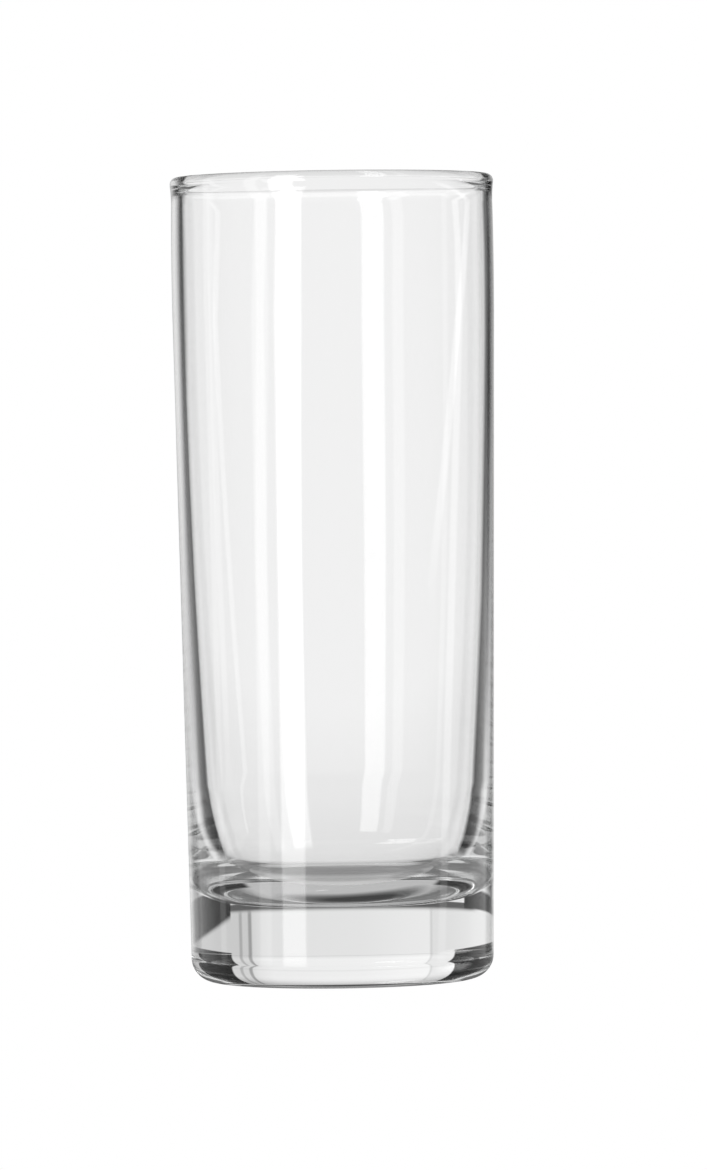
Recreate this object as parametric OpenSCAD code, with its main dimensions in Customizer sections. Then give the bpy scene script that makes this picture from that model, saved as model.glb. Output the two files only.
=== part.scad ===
// A tall highball drinking glass with a heavy clear base and a rolled rim.
// It is turned about the Z axis and stands on the plane z = 0 with its mouth up. All lengths are in millimetres.

/* [Overall] */
// Height from the table to the top of the rim
glass_h = 150; // [140:1:165]
// Outer diameter of the body where its straight taper ends
body_d = 60; // [54:0.02:66]

/* [Foot] */
// How far the foot is drawn in from the body, on each side
foot_draw = 1.78; // [0.8:0.01:2.4]
// Radius of the rounded corner under the wall
foot_corner_r = 4.4; // [2.4:0.1:5.4]
// Width of the flat ring that the glass stands on
ring_w = 3; // [2:0.1:6]
// Depth, at its middle, of the very shallow hollow inside that ring
hollow_h = 0.15; // [0.1:0.05:1.5]

/* [Outer wall] */
// Distance from the top of the rim down to where the straight taper ends
shoulder_drop = 26; // [18:0.5:40]
// Radius of the slight inward curve from there up to the rim
neck_curve_r = 600; // [450:10:1200]

/* [Rim] */
// How far the rolled rim stands outside the body's greatest width, on each side
rim_proud = 0.16; // [0.08:0.01:0.4]
// How much thicker the rolled rim is than the wall under it
bead_extra = 0.52; // [0.3:0.01:1.2]
// Radius of the blend under the rim, outside
outer_blend_r = 30; // [10:1:60]
// Radius of the blend under the rim, inside
inner_blend_r = 6; // [3:0.1:12]

/* [Cavity] */
// Thickness of the thin upper wall
wall_t = 2.08; // [1.4:0.02:2.6]
// Distance from the top of the rim down to where the wall begins to thicken
belly_drop = 13; // [10:0.5:60]
// Lean of the inner wall, in degrees, where the long belly curve ends
heel_lean = 3.5; // [2.4:0.1:4.4]
// Radius of the heel curve under the belly curve
heel_r = 74; // [60:1:110]
// Lean of the inner wall, in degrees, where the heel curve ends
corner_lean = 14; // [10:0.1:18]
// Radius of the rounded corner between the wall and the cavity's floor
corner_r = 12; // [8:0.1:14]
// Thickness of the solid base, from the table to the cavity's floor
base_h = 14.5; // [8:0.1:20]

/* [Hidden] */
$fn = 180;
glass_colour = [0.86, 0.88, 0.88, 0.35];

// Most that the flat between two points of a round stretch may stand off the true arc
chord_gap = 0.01;

// Radii that follow from the body's diameter
body_r = body_d / 2;
ring_r = body_r - foot_draw - foot_corner_r;
hollow_edge_r = ring_r - ring_w;
bore_r = body_r - wall_t;
bead_r = (wall_t + bead_extra) / 2;

// Foot corner, and the taper that runs from it to the shoulder
corner_at = [ring_r, foot_corner_r];
shoulder_at = [body_r, glass_h - shoulder_drop];
to_shoulder = shoulder_at - corner_at;
wall_turn = bearing(to_shoulder) - acos(foot_corner_r / norm(to_shoulder));
neck_at = shoulder_at - neck_curve_r * facing(wall_turn);

// Rolled rim, and the centres of the blends under it
bead_at = [body_r + rim_proud - bead_r, glass_h - bead_r];
outer_blend_at = touching(neck_at, neck_curve_r + outer_blend_r, bead_at, bead_r + outer_blend_r);
inner_blend_x = bore_r - inner_blend_r;
inner_blend_rise = sqrt(pow(bead_r + inner_blend_r, 2) - pow(bead_at.x - inner_blend_x, 2));
inner_blend_at = [inner_blend_x, bead_at.y - inner_blend_rise];
neck_turn = bearing(outer_blend_at - neck_at);
outer_turn = bearing(bead_at - outer_blend_at);
inner_turn = bearing(bead_at - inner_blend_at);

// Inner wall, arc by arc, each tangent to the next
floor_corner_z = base_h + corner_r;
heel_z = floor_corner_z + (heel_r - corner_r) * sin(corner_lean);
belly_z = glass_h - belly_drop;
belly_r = heel_r + (belly_z - heel_z) / sin(heel_lean);
belly_x = bore_r - belly_r;
heel_x = belly_x + (belly_r - heel_r) * cos(heel_lean);
floor_corner_x = heel_x + (heel_r - corner_r) * cos(corner_lean);

// Sphere that the hollow under the base is part of
hollow_r = (pow(hollow_edge_r, 2) + pow(hollow_h, 2)) / (2 * hollow_h);
hollow_turn = asin(hollow_edge_r / hollow_r);

// Angle of a direction from the outline's X axis, and the direction that an angle faces
function bearing(v) = atan2(v.y, v.x);
function facing(turn) = [cos(turn), sin(turn)];

// The place below b that is the distance ra from a and the distance rb from b
function touching(a, ra, b, rb) =
    let (gap = norm(b - a))
    a + ra * facing(bearing(b - a) - acos((ra * ra + gap * gap - rb * rb) / (2 * ra * gap)));

// Points along an arc from one angle to another, without its first point
function arc(at, r, from, to) =
    let (steps = ceil(abs(to - from) / (2 * acos(1 - chord_gap / r))))
    [for (i = [1:steps]) at + r * facing(from + (to - from) * i / steps)];

// Half of the cross-section, anticlockwise from the middle of the hollow
outline = concat(
    [[0, hollow_h]],
    arc([0, hollow_h - hollow_r], hollow_r, 90, 90 - hollow_turn),
    [[ring_r, 0]],
    arc(corner_at, foot_corner_r, -90, wall_turn),
    [shoulder_at],
    arc(neck_at, neck_curve_r, wall_turn, neck_turn),
    arc(outer_blend_at, outer_blend_r, neck_turn + 180, outer_turn),
    arc(bead_at, bead_r, outer_turn - 180, inner_turn + 180),
    arc(inner_blend_at, inner_blend_r, inner_turn, 0),
    [[bore_r, belly_z]],
    arc([belly_x, belly_z], belly_r, 0, -heel_lean),
    arc([heel_x, heel_z], heel_r, -heel_lean, -corner_lean),
    arc([floor_corner_x, floor_corner_z], corner_r, -corner_lean, -90),
    [[0, base_h]]
);

module tumbler() {
    color(glass_colour)
        rotate_extrude()
            polygon(outline);
}

tumbler();
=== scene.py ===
"""Looks of the tall highball glass: one turned clear glass on a shaded table in a white studio."""
import math

import bmesh
import bpy
from mathutils import Matrix, Vector


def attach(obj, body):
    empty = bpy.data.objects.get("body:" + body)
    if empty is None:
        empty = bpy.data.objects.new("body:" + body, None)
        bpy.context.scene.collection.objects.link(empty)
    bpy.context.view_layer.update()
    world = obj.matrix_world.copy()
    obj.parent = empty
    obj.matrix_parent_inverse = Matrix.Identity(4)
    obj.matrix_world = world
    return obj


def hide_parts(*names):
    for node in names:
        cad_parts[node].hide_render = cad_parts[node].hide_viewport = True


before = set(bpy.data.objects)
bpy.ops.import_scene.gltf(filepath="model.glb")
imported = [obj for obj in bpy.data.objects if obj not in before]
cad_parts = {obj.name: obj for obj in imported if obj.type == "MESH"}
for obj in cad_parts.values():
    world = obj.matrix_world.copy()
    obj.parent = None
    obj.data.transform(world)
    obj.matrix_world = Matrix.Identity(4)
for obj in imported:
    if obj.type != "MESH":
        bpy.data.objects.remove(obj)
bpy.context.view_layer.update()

MM = 0.001
DEGREES_IN_RADIAN = math.degrees(1.0)
WHITE = (1.0, 1.0, 1.0, 1.0)

# Sizes of the glass in millimetres and degrees, the same as in the CAD source
GLASS_H = 150.0
BODY_D = 60.0
SHOULDER_DROP = 26.0
NECK_CURVE_R = 600.0
FOOT_DRAW = 1.78
FOOT_CORNER_R = 4.4
RING_W = 3.0
HOLLOW_H = 0.15
WALL_T = 2.08
RIM_PROUD = 0.16
BEAD_EXTRA = 0.52
OUTER_BLEND_R = 30.0
INNER_BLEND_R = 6.0
BASE_H = 14.5
CORNER_R = 12.0
CORNER_LEAN = 14.0
HEEL_R = 74.0
HEEL_LEAN = 3.5
BELLY_DROP = 13.0

# Outer and inner edge of the flat ring that the glass stands on
STAND_R = BODY_D / 2 - FOOT_DRAW - FOOT_CORNER_R
STAND_IN_R = STAND_R - RING_W

# Fineness of the turned mesh
# most that a flat may stand off an arc
CHORD_GAP = 0.0006
# flats round the glass, and up its straight taper
AROUND, TAPER_STEPS = 480, 6
# a point nearer to the axis than this lies on it
ON_AXIS = 0.000001

# Camera, in millimetres and degrees, fitted to the outline in the photograph
CAMERA = (0.0, -1350.0, 100.0)
PITCH, YAW, ROLL = -1.12, 0.129, -0.837
FOCAL_PX = 7230.325
PHOTO_H = 1170
SENSOR = 36.0
CLIP_NEAR_M, CLIP_FAR_M = 0.01, 100.0
# The most surfaces that one ray of light is followed through
BOUNCES = 48

# Glass: what it swallows per metre, slow waves left by the mould, and scuffs on the ring that it stands on
IOR = 1.52
SWALLOWED_COLOUR, SWALLOWED = (0.9, 0.94, 0.92, 1.0), 1.0
WAVE_SIZE, WAVE_HEIGHT = 28.0, 0.012
SCUFF_SIZE, SCUFF_ROUGHNESS, SCUFF_RISE = 0.5, 0.35, 0.02

# Studio, in degrees: azimuth 0 is straight behind the glass, and + is to the right (east).
# Lists of points give a brightness or an edge by an angle or a distance.
# A pair of angles says where one thing takes over from another.
# east and west take over from each other this far on each side of azimuth 0
PARTING_AZ = 1.0
# light that goes straight through and meets the glass more often than this has passed its hollow part
TUBE_FROM = 2.5

# Light that goes straight through the hollow part of the glass: brightness by elevation
TUBE_LEVELS = (
    (-90.0, 0.8), (-26.0, 0.82), (-14.0, 0.84), (-9.0, 0.88), (-6.0, 0.89), (-4.4, 0.97), (4.0, 0.98),
    (10.0, 1.08), (20.0, 1.0), (32.0, 0.8), (42.0, 0.35), (60.0, 0.5),
)
# the dim upper sides of the room
SIDES, SIDES_AZ, SIDES_EL = 0.2, (50.0, 60.0), (8.0, 13.0)

# Light that goes straight through the solid base: brightness by azimuth, and its change by elevation
BASE_LEVELS = (
    (-60.0, 0.92), (-45.0, 0.84), (-35.0, 0.78), (-26.6, 0.76), (-25.8, 0.64), (-25.0, 0.86), (-16.0, 0.84),
    (-5.0, 0.8), (15.0, 0.78), (19.0, 0.78), (24.0, 0.72), (26.2, 0.66), (26.8, 0.32), (27.5, 0.32),
    (28.2, 0.6), (30.2, 0.6), (30.8, 0.4), (31.5, 0.4), (32.2, 0.6), (60.0, 0.62),
)
BASE_RISE = ((0.0, 1.0), (4.0, 1.15), (18.0, 1.15), (30.0, 0.75))
# the dark cards at both sides: inner and outer edges, feet and tops
CARD_WEST, CARD_WEST_END = 36.5, 84.0
CARD_EAST, CARD_EAST_END = 35.8, 66.0
CARD_FOOT, CARD_FOOT_SOFT = -2.0, 0.15
CARD_TOP, CARD_TOP_SOFT = 48.0, 2.0
CARD_SOFT, CARD_TONE = 0.5, 0.0

# Light that the glass turns back: inner and outer edges of the dark cards, as azimuths by elevation
IN_WEST = (
    (-32.0, 36.0), (-28.0, 30.0), (-24.0, 28.0), (-20.0, 29.0), (-16.0, 32.0), (-11.0, 33.5), (-7.0, 31.0),
    (-4.0, 29.0),
)
OUT_WEST = ((-28.0, 50.0), (-12.0, 50.0), (-9.0, 47.0), (-5.0, 42.5), (-0.5, 39.0), (1.0, 42.0))
IN_EAST = (
    (-32.0, 29.0), (-28.0, 21.5), (-24.0, 23.5), (-16.0, 28.5), (-12.0, 31.0), (-10.0, 29.5), (-8.0, 27.0),
    (-6.0, 22.5), (-4.0, 20.0), (-2.0, 18.0), (0.0, 15.5),
)
OUT_EAST = ((-28.0, 45.0), (-24.0, 46.0), (-12.0, 48.0), (-9.0, 46.0), (-5.0, 37.5), (0.0, 33.0), (1.0, 32.0))
# brightness by the distance in azimuth from those edges
FADE_IN = ((-12.0, 1.0), (-7.0, 0.85), (-3.0, 0.58), (0.0, 0.32), (3.0, 0.1), (6.0, 0.02), (10.0, 0.0))
FADE_OUT = ((-2.0, 0.0), (0.0, 0.2), (4.0, 0.74))
# share of that brightness left near the middle, by azimuth
MIDDLE_SHARES = ((4.0, 0.5), (16.0, 0.95))
# brightness low down, overhead and in front
LOW, LOW_EL = 0.3, (-36.0, -33.0)
OVERHEAD, OVERHEAD_EL = 0.08, (7.0, 13.0)
FRONT, FRONT_AZ = 0.46, (58.0, 72.0)
# softboxes: azimuths, elevations, strength, and how far they lean: azimuth per degree of elevation
BOXES = (
    (-155.9, -137.6, -40.0, 28.0, 4.0, -0.6),
    (-129.8, -119.8, -40.0, 28.0, 1.7, -0.9),
    (-81.0, -74.5, -9.5, 57.0, 1.2, 0.0),
    (74.0, 81.0, -5.5, 5.0, 1.8, -4.0),
)
BOX_SIDE_SOFT, BOX_END_SOFT = 1.5, 2.0
# elevation, up and down, beyond which a softbox leans no further
LEAN_MOST = 6.0

# Tones of light that meets the glass very often and more often still, and the numbers of meetings
CALM, CALM_MORE = 0.16, 0.62
CALM_FROM, CALM_MORE_FROM = 5.5, 9.5

# Table, in millimetres: it shows close to the glass, and further out where it is dark
FLOOR_R, FLOOR_SIDES = 3000.0, 96
NEAR_R, NEAR_SOFT = 33.0, 4.0
# east and west take over from each other this far on each side of the middle
PARTING_X = 1.0
# light that goes straight through: brightness by the distance towards the back, and a shade at the right
SHADE = (
    (-16.0, 1.0), (-10.0, 0.74), (-4.0, 0.54), (4.0, 0.45), (10.0, 0.2), (18.0, 0.2), (23.0, 0.6),
    (32.0, 0.62),
)
SPOT_AT, SPOT_CORE_R, SPOT_R, SPOT_DEPTH = (18.0, 1.0), 3.6, 9.0, 0.6
# light that the glass turns back: an oval shade, fainter towards the back, and a painted shadow ring round
# the foot
OVAL_AT, OVAL_X, OVAL_Y = (4.0, -7.5), 14.0, 6.5
OVAL_SHADE = ((0.5, 0.03), (0.9, 0.15), (1.4, 0.5))
OVAL_BACK = ((-5.0, 1.0), (1.0, 0.6))
SHADOW_RING_IN, SHADOW_RING_OUT, SHADOW_RING_SOFT = 24.5, 30.0, 0.8
SHADOW_RING_FRONT, SHADOW_RING_FRONT_SOFT = -5.0, 2.0
# a small dark shade behind the glass, seen after three meetings
BACK_X, BACK_Y, BACK_SOFT, BACK_TONE = 13.0, (33.0, 58.0), 2.0, 0.06
# the shade round the foot, as the outer face mirrors it
FOOT_SHADE_R, FOOT_SHADE_SOFT, FOOT_SHADE_TONE = 70.0, 30.0, 0.1

# The dark cards on the table, seen through the solid base
# the turn towards a place is measured from a point this far past the middle and this far back
CROSSING_X, CROSSING_Y = 5.6, 27.7
# the cards' feet, a strip whose outer edge moves out by FEET_GROW per degree of turn past FEET_FROM
FEET_IN, FEET_R, FEET_GROW, FEET_FROM, FEET_SOFT = 95.0, 112.0, 0.7, 38.0, 3.0
# the dark past the table's right and left edges, which ends at one distance
EDGE_EAST, EDGE_EAST_SOFT = 134.0, 16.0
EDGE_WEST_R, EDGE_WEST_SOFT, EDGE_WEST_TURN = 298.0, 8.0, 42.3
EDGE_END, EDGE_END_SOFT = 420.0, 15.0
# brightness of feet and dark at the right, by turn
EAST_TONES = ((52.0, 0.0), (58.0, 0.03), (67.0, 0.3))
# a dark line along the table's back edge: distances where it sets in and stops, and how far back it is
BACK_EDGE_IN, BACK_EDGE_OUT = (273.0, 303.0), (325.0, 331.0)
BACK_EDGE_Y, BACK_EDGE_TONE = (180.0, 220.0), 0.08


def bearing(a, b):
    """Angle of the direction from a to b."""
    return math.atan2(b[1] - a[1], b[0] - a[0])


def off(at, r, turn):
    """The place that is the distance r from another in a direction."""
    return (at[0] + r * math.cos(turn), at[1] + r * math.sin(turn))


def touching(a, ra, b, rb):
    """The place below b that is the distance ra from a and the distance rb from b."""
    gap = math.dist(a, b)
    return off(a, ra, bearing(a, b) - math.acos((ra * ra + gap * gap - rb * rb) / (2 * ra * gap)))


def arc(at, r, start, end):
    """Points of an arc from one bearing to another, each with the bearing that the surface faces there."""
    steps = max(1, math.ceil(abs(end - start) / (2 * math.acos(1 - CHORD_GAP / r))))
    turns = [start + (end - start) * k / steps for k in range(steps + 1)]
    flip = 0.0 if end > start else math.pi
    return [(*off(at, r, turn), turn + flip) for turn in turns]


def straight(a, b, steps=1):
    """Points of a straight stretch, each with the bearing that the surface faces there."""
    facing = bearing(a, b) - math.pi / 2
    shares = [k / steps for k in range(steps + 1)]
    return [(a[0] + (b[0] - a[0]) * share, a[1] + (b[1] - a[1]) * share, facing) for share in shares]


def outline():
    """The glass's section from the axis under the foot, up the outside and down the inside to the axis."""
    body_r = BODY_D / 2
    bore_r = body_r - WALL_T
    bead_r = (WALL_T + BEAD_EXTRA) / 2
    down, up = -math.pi / 2, math.pi / 2

    # the hollow is part of a sphere
    sphere_r = (STAND_IN_R ** 2 + HOLLOW_H ** 2) / (2 * HOLLOW_H)
    sphere_turn = math.asin(STAND_IN_R / sphere_r)

    # foot corner, taper and neck
    corner = (STAND_R, FOOT_CORNER_R)
    shoulder = (body_r, GLASS_H - SHOULDER_DROP)
    wall_turn = bearing(corner, shoulder) - math.acos(FOOT_CORNER_R / math.dist(corner, shoulder))
    foot = arc(corner, FOOT_CORNER_R, down, wall_turn)
    neck = off(shoulder, -NECK_CURVE_R, wall_turn)

    # rolled rim and the blends under it
    bead = (body_r + RIM_PROUD - bead_r, GLASS_H - bead_r)
    outer_blend = touching(neck, NECK_CURVE_R + OUTER_BLEND_R, bead, bead_r + OUTER_BLEND_R)
    inner_x = bore_r - INNER_BLEND_R
    inner_rise = math.sqrt((bead_r + INNER_BLEND_R) ** 2 - (bead[0] - inner_x) ** 2)
    inner_blend = (inner_x, bead[1] - inner_rise)
    neck_turn = bearing(neck, outer_blend)
    outer_turn = bearing(outer_blend, bead)
    inner_turn = bearing(inner_blend, bead)

    # inner wall, arc by arc, each tangent to the next
    corner_lean, heel_lean = math.radians(CORNER_LEAN), math.radians(HEEL_LEAN)
    corner_z = BASE_H + CORNER_R
    heel_z = corner_z + (HEEL_R - CORNER_R) * math.sin(corner_lean)
    belly_z = GLASS_H - BELLY_DROP
    belly_r = HEEL_R + (belly_z - heel_z) / math.sin(heel_lean)
    belly_x = bore_r - belly_r
    heel_x = belly_x + (belly_r - HEEL_R) * math.cos(heel_lean)
    corner_x = heel_x + (HEEL_R - CORNER_R) * math.cos(corner_lean)
    floor_corner = arc((corner_x, corner_z), CORNER_R, -corner_lean, down)
    under_rim = arc(inner_blend, INNER_BLEND_R, inner_turn, 0)

    return [
        arc((0.0, HOLLOW_H - sphere_r), sphere_r, up, up - sphere_turn),
        straight((STAND_IN_R, 0.0), (STAND_R, 0.0)),
        foot,
        straight(foot[-1], shoulder, TAPER_STEPS),
        arc(neck, NECK_CURVE_R, wall_turn, neck_turn),
        arc(outer_blend, OUTER_BLEND_R, neck_turn + math.pi, outer_turn),
        arc(bead, bead_r, outer_turn - math.pi, inner_turn + math.pi),
        under_rim,
        straight(under_rim[-1], (bore_r, belly_z)),
        arc((belly_x, belly_z), belly_r, 0, -heel_lean),
        arc((heel_x, heel_z), HEEL_R, -heel_lean, -corner_lean),
        floor_corner,
        straight(floor_corner[-1], (0.0, BASE_H)),
    ]


def turned(name, stretches):
    """A closed mesh turned about Z, with the true facings of the stretches of its section."""
    bm = bmesh.new()
    spokes = [(math.cos(math.tau * s / AROUND), math.sin(math.tau * s / AROUND)) for s in range(AROUND)]
    pairs = [(s, (s + 1) % AROUND) for s in range(AROUND)]
    ring = [bm.verts.new((0.0, 0.0, stretches[0][0][1] * MM))] * AROUND
    facings = []
    for stretch in stretches:
        for (_, _, lean_before), (x, z, lean) in zip(stretch, stretch[1:]):
            before = ring
            if x < ON_AXIS:
                ring = [bm.verts.new((0.0, 0.0, z * MM))] * AROUND
            else:
                ring = [bm.verts.new((x * c * MM, x * s * MM, z * MM)) for c, s in spokes]
            for a, b in pairs:
                corners = [(before[a], lean_before, a), (before[b], lean_before, b), (ring[b], lean, b)]
                if ring[a] is not ring[b]:
                    corners.append((ring[a], lean, a))
                if before[a] is before[b]:
                    corners.pop(0)
                bm.faces.new([vertex for vertex, _, _ in corners]).smooth = True
                for _, turn, spoke in corners:
                    c, s = spokes[spoke]
                    facings.append((c * math.cos(turn), s * math.cos(turn), math.sin(turn)))
        # the hollow meets the ring that the glass stands on at a sharp edge
        if stretch is stretches[0]:
            for a, b in pairs:
                bm.edges.get((ring[a], ring[b])).smooth = False
    me = bpy.data.meshes.new(name)
    bm.to_mesh(me)
    bm.free()
    me.normals_split_custom_set(facings)
    ob = bpy.data.objects.new(name, me)
    bpy.context.scene.collection.objects.link(ob)
    return ob


class Nodes:
    """Short calls for building a node tree."""

    def __init__(self, tree):
        self.tree = tree
        tree.nodes.clear()

    def new(self, kind, **inputs):
        n = self.tree.nodes.new(kind)
        for key, v in inputs.items():
            self.plug(n.inputs[key.replace("_", " ")], v)
        return n

    def plug(self, socket, v):
        if isinstance(v, bpy.types.NodeSocket):
            self.tree.links.new(v, socket)
        else:
            socket.default_value = v

    def math(self, op, *values):
        n = self.tree.nodes.new("ShaderNodeMath")
        n.operation = op
        for socket, v in zip(n.inputs, values):
            self.plug(socket, v)
        return n.outputs[0]

    def add(self, a, b):
        return self.math("ADD", a, b)

    def take(self, a, b):
        return self.math("SUBTRACT", a, b)

    def mul(self, a, b):
        return self.math("MULTIPLY", a, b)

    def most(self, a, b):
        return self.math("MAXIMUM", a, b)

    def flip(self, v):
        """What is left of 1."""
        return self.take(1.0, v)

    def length(self, a, b):
        return self.math("SQRT", self.add(self.mul(a, a), self.mul(b, b)))

    def azimuth(self, x, y):
        return self.mul(self.math("ARCTAN2", x, y), DEGREES_IN_RADIAN)

    def equals(self, v, whole):
        """1 where v is that whole number."""
        return self.math("COMPARE", v, whole, 0.5)

    def odd(self, v):
        """1 where v is an odd whole number."""
        return self.math("MODULO", v, 2.0)

    def step(self, v, lo, hi):
        """Rises smoothly from 0 at lo to 1 at hi."""
        n = self.tree.nodes.new("ShaderNodeMapRange")
        n.interpolation_type = "SMOOTHSTEP"
        self.plug(n.inputs[0], v)
        self.plug(n.inputs[1], lo)
        self.plug(n.inputs[2], hi)
        return n.outputs[0]

    def over(self, v, edge, soft):
        """0 below an edge and 1 above it, with a soft change."""
        return self.step(v, edge - soft, edge + soft)

    def under(self, v, edge, soft):
        return self.flip(self.over(v, edge, soft))

    def between(self, v, lo, hi, soft):
        return self.take(self.over(v, lo, soft), self.over(v, hi, soft))

    def mix(self, a, b, share):
        return self.add(self.mul(a, self.flip(share)), self.mul(b, share))

    def ramp(self, v, points):
        """Straight runs between the given points."""
        total = points[0][1]
        for (x0, y0), (x1, y1) in zip(points, points[1:]):
            if y0 != y1:
                n = self.tree.nodes.new("ShaderNodeMapRange")
                n.inputs[1].default_value, n.inputs[2].default_value = x0, x1
                n.inputs[3].default_value, n.inputs[4].default_value = 0.0, y1 - y0
                self.plug(n.inputs[0], v)
                total = self.add(total, n.outputs[0])
        return total

    def calmed(self, tone, meetings):
        """Light that meets the glass very often comes from all around and evens out."""
        tone = self.mix(tone, CALM, self.math("GREATER_THAN", meetings, CALM_FROM))
        return self.mix(tone, CALM_MORE, self.math("GREATER_THAN", meetings, CALM_MORE_FROM))

    def mixed_shader(self, a, b, share):
        mixed = self.new("ShaderNodeMixShader", Fac=share)
        self.plug(mixed.inputs[1], a.outputs[0])
        self.plug(mixed.inputs[2], b.outputs[0])
        return mixed


def light_through_base(t, az, el, east):
    out = t.math("ABSOLUTE", az)
    west_card = t.between(out, CARD_WEST, CARD_WEST_END, CARD_SOFT)
    east_card = t.between(out, CARD_EAST, CARD_EAST_END, CARD_SOFT)
    cards = t.mix(west_card, east_card, east)
    cards = t.mul(cards, t.over(el, CARD_FOOT, CARD_FOOT_SOFT))
    cards = t.mul(cards, t.under(el, CARD_TOP, CARD_TOP_SOFT))
    pale = t.mul(t.ramp(az, BASE_LEVELS), t.ramp(el, BASE_RISE))
    return t.mix(pale, CARD_TONE, cards)


def light_through_tube(t, az, el):
    sides = t.mul(t.step(t.math("ABSOLUTE", az), *SIDES_AZ), t.step(el, *SIDES_EL))
    return t.mix(t.ramp(el, TUBE_LEVELS), SIDES, sides)


def light_turned_back(t, az, el, east):
    out = t.math("ABSOLUTE", az)
    inner = t.mix(t.ramp(el, IN_WEST), t.ramp(el, IN_EAST), east)
    outer = t.mix(t.ramp(el, OUT_WEST), t.ramp(el, OUT_EAST), east)
    inside = t.mul(t.ramp(t.take(out, inner), FADE_IN), t.ramp(out, MIDDLE_SHARES))
    light = t.most(inside, t.ramp(t.take(out, outer), FADE_OUT))
    light = t.mix(LOW, light, t.step(el, *LOW_EL))
    light = t.mix(light, OVERHEAD, t.step(el, *OVERHEAD_EL))
    light = t.mix(light, FRONT, t.step(out, *FRONT_AZ))
    leaning_el = t.math("MINIMUM", t.most(el, -LEAN_MOST), LEAN_MOST)
    for az_from, az_to, el_from, el_to, strength, lean in BOXES:
        upright_az = t.take(az, t.mul(leaning_el, lean))
        across = t.between(upright_az, az_from, az_to, BOX_SIDE_SOFT)
        light = t.mix(light, strength, t.mul(across, t.between(el, el_from, el_to, BOX_END_SOFT)))
    return light


def make_world():
    """The studio. Light that has met the glass an even number of times has gone straight through it."""
    world = bpy.data.worlds.new("studio")
    bpy.context.scene.world = world
    world.use_nodes = True
    t = Nodes(world.node_tree)
    direction = t.new("ShaderNodeTexCoord").outputs["Generated"]
    x, y, z = t.new("ShaderNodeSeparateXYZ", Vector=direction).outputs
    az = t.azimuth(x, y)
    el = t.mul(t.math("ARCSINE", z), DEGREES_IN_RADIAN)
    east = t.over(az, 0.0, PARTING_AZ)

    # a ray's depth at the studio is one more than its meetings with the glass
    path = t.new("ShaderNodeLightPath").outputs
    meetings = t.take(path["Ray Depth"], 1.0)
    turned_back = t.flip(t.odd(path["Ray Depth"]))
    in_base = t.math("LESS_THAN", meetings, TUBE_FROM)
    through = t.mix(light_through_tube(t, az, el), light_through_base(t, az, el, east), in_base)
    seen = t.calmed(t.mix(through, light_turned_back(t, az, el, east), turned_back), meetings)
    seen = t.mix(seen, 1.0, path["Is Camera Ray"])
    shader = t.new("ShaderNodeBackground", Color=WHITE, Strength=seen)
    t.new("ShaderNodeOutputWorld", Surface=shader.outputs[0])


def glass_material():
    m = bpy.data.materials.new("clear_glass")
    m.use_nodes = True
    t = Nodes(m.node_tree)
    place = t.new("ShaderNodeTexCoord").outputs["Object"]
    x, y, z = t.new("ShaderNodeSeparateXYZ", Vector=place).outputs

    # scuffed where it stands, on the flat ring and nowhere else
    far = t.length(x, y)
    ring = t.mul(t.math("LESS_THAN", far, STAND_R * MM), t.math("GREATER_THAN", far, STAND_IN_R * MM))
    ring = t.mul(ring, t.math("LESS_THAN", z, SCUFF_RISE * MM))
    scuffs = t.new("ShaderNodeTexNoise", Vector=place, Scale=1 / (SCUFF_SIZE * MM)).outputs["Fac"]
    roughness = t.mul(ring, t.mul(scuffs, SCUFF_ROUGHNESS))

    waves = t.new("ShaderNodeTexNoise", Vector=place, Scale=1 / (WAVE_SIZE * MM), Detail=0.0).outputs["Fac"]
    bump = t.new("ShaderNodeBump", Strength=1.0, Distance=WAVE_HEIGHT * MM, Height=waves)
    surface = t.new(
        "ShaderNodeBsdfPrincipled", Base_Color=WHITE, Roughness=roughness, IOR=IOR,
        Transmission_Weight=1.0, Normal=bump.outputs[0],
    )
    inside = t.new("ShaderNodeVolumeAbsorption", Color=SWALLOWED_COLOUR, Density=SWALLOWED)
    t.new("ShaderNodeOutputMaterial", Surface=surface.outputs[0], Volume=inside.outputs[0])
    return m


def near_table(t, x, y, far, meetings):
    """Brightness of the table close to the glass."""
    spot = t.length(t.take(x, SPOT_AT[0]), t.take(y, SPOT_AT[1]))
    spot = t.flip(t.step(spot, SPOT_CORE_R, SPOT_R))
    through = t.mul(t.ramp(y, SHADE), t.flip(t.mul(spot, SPOT_DEPTH)))
    oval = t.length(t.mul(t.take(x, OVAL_AT[0]), 1 / OVAL_X), t.mul(t.take(y, OVAL_AT[1]), 1 / OVAL_Y))
    # painted shadow in a ring round the foot, on the table that light turned back by the glass meets
    ring = t.mul(t.between(far, SHADOW_RING_IN, SHADOW_RING_OUT, SHADOW_RING_SOFT), t.over(y, SHADOW_RING_FRONT, SHADOW_RING_FRONT_SOFT))
    turned_back = t.mul(t.ramp(oval, OVAL_SHADE), t.mul(t.ramp(y, OVAL_BACK), t.flip(ring)))
    return t.calmed(t.mix(through, turned_back, t.odd(meetings)), meetings)


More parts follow.
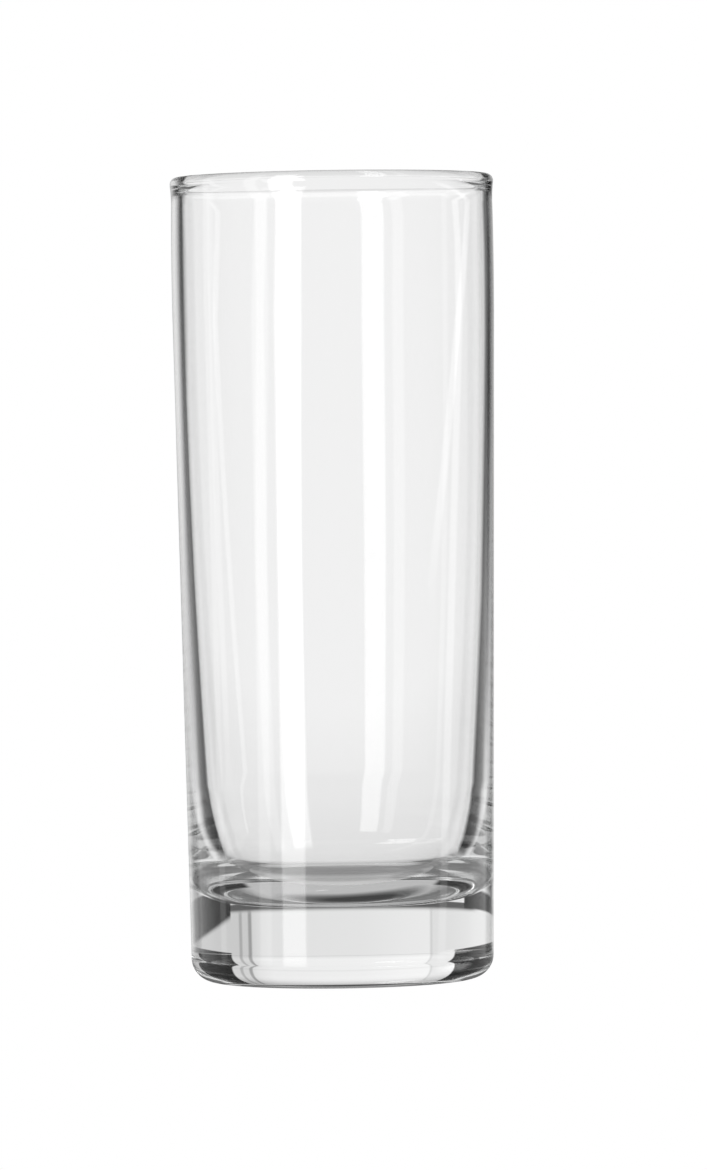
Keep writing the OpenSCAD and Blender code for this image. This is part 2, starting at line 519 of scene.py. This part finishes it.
def cards_on_table(t, x, y, far):
    """Where the dark cards hide the table from light that passes the solid base, and how bright they are."""
    east = t.over(x, 0.0, PARTING_X)
    turn = t.azimuth(t.add(t.math("ABSOLUTE", x), CROSSING_X), t.take(y, CROSSING_Y))
    in_west = t.over(turn, CARD_WEST, CARD_SOFT)
    in_east = t.over(turn, CARD_EAST, CARD_SOFT)
    feet_r = t.add(FEET_R, t.mul(t.take(turn, FEET_FROM), FEET_GROW))
    feet = t.take(t.over(far, FEET_IN, FEET_SOFT), t.over(t.take(far, feet_r), 0.0, FEET_SOFT))
    feet = t.mul(feet, t.mix(in_west, in_east, east))
    past_west = t.mul(t.over(far, EDGE_WEST_R, EDGE_WEST_SOFT), t.over(turn, EDGE_WEST_TURN, CARD_SOFT))
    past_east = t.mul(t.over(x, EDGE_EAST, EDGE_EAST_SOFT), in_east)
    past = t.mul(t.mix(past_west, past_east, east), t.under(far, EDGE_END, EDGE_END_SOFT))
    return t.most(feet, past), t.mix(CARD_TONE, t.ramp(turn, EAST_TONES), east)


def floor_material():
    """The table, seen only through the glass and mirrored in its foot, glows with painted light and painted
    shadows of the glass: the page round the glass is white.
    """
    m = bpy.data.materials.new("pale_floor")
    m.use_nodes = True
    t = Nodes(m.node_tree)
    path = t.new("ShaderNodeLightPath").outputs
    meetings = path["Ray Depth"]
    place = t.new("ShaderNodeNewGeometry").outputs["Position"]
    x, y, _ = t.new("ShaderNodeSeparateXYZ", Vector=place).outputs
    x, y = t.mul(x, 1 / MM), t.mul(y, 1 / MM)
    far = t.length(x, y)

    near = t.under(far, NEAR_R, NEAR_SOFT)
    back = t.mul(t.between(x, -BACK_X, BACK_X, BACK_SOFT), t.between(y, *BACK_Y, BACK_SOFT))
    back = t.mul(back, t.equals(meetings, 3.0))
    back_edge = t.mul(t.step(far, *BACK_EDGE_IN), t.flip(t.step(far, *BACK_EDGE_OUT)))
    back_edge = t.mul(back_edge, t.step(y, *BACK_EDGE_Y))
    cards, cards_tone = cards_on_table(t, x, y, far)
    in_base = t.equals(meetings, 2.0)
    back_edge, cards = t.mul(back_edge, in_base), t.mul(cards, in_base)
    tone = t.mix(near_table(t, x, y, far, meetings), BACK_TONE, back)
    tone = t.mix(tone, BACK_EDGE_TONE, back_edge)
    tone = t.mix(tone, cards_tone, cards)
    shown = t.most(t.most(near, back), t.most(back_edge, cards))

    mirrored = t.mul(t.equals(meetings, 1.0), t.flip(path["Is Transmission Ray"]))
    tone = t.mix(tone, FOOT_SHADE_TONE, mirrored)
    foot_shade = t.mul(mirrored, t.under(far, FOOT_SHADE_R, FOOT_SHADE_SOFT))
    shown = t.most(t.mul(shown, path["Is Transmission Ray"]), foot_shade)

    page = t.new("ShaderNodeEmission", Color=WHITE, Strength=1.0)
    # the table's glow: painted light, with the painted shadows of the glass in its tone
    table = t.new("ShaderNodeEmission", Color=WHITE, Strength=tone)
    clear = t.new("ShaderNodeBsdfTransparent", Color=WHITE)
    through_glass = t.mixed_shader(clear, table, shown)
    surface = t.mixed_shader(through_glass, page, path["Is Camera Ray"])
    t.new("ShaderNodeOutputMaterial", Surface=surface.outputs[0])
    return m


def make_floor():
    bm = bmesh.new()
    bmesh.ops.create_circle(bm, cap_ends=True, segments=FLOOR_SIDES, radius=FLOOR_R * MM)
    me = bpy.data.meshes.new("floor")
    bm.to_mesh(me)
    bm.free()
    ob = bpy.data.objects.new("floor", me)
    bpy.context.scene.collection.objects.link(ob)
    me.materials.append(floor_material())


def make_camera():
    data = bpy.data.cameras.new("camera")
    ob = bpy.data.objects.new("camera", data)
    bpy.context.scene.collection.objects.link(ob)
    bpy.context.scene.camera = ob
    data.sensor_fit = "VERTICAL"
    data.sensor_height = SENSOR
    data.lens = SENSOR * FOCAL_PX / PHOTO_H
    data.clip_start, data.clip_end = CLIP_NEAR_M, CLIP_FAR_M
    turn = Matrix.Rotation(math.radians(-YAW), 4, "Z")
    turn = turn @ Matrix.Rotation(math.radians(90 + PITCH), 4, "X")
    turn = turn @ Matrix.Rotation(math.radians(ROLL), 4, "Z")
    ob.matrix_world = Matrix.Translation(Vector(CAMERA) * MM) @ turn


glass = turned("tumbler_glass", outline())
glass.data.materials.append(glass_material())
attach(glass, "root")
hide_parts("tumbler")

make_floor()
make_world()
make_camera()

scene = bpy.context.scene
scene.view_settings.view_transform = "Standard"
scene.cycles.max_bounces = BOUNCES
scene.cycles.transmission_bounces = BOUNCES
scene.cycles.glossy_bounces = BOUNCES
scene.cycles.sample_clamp_indirect = 0.0
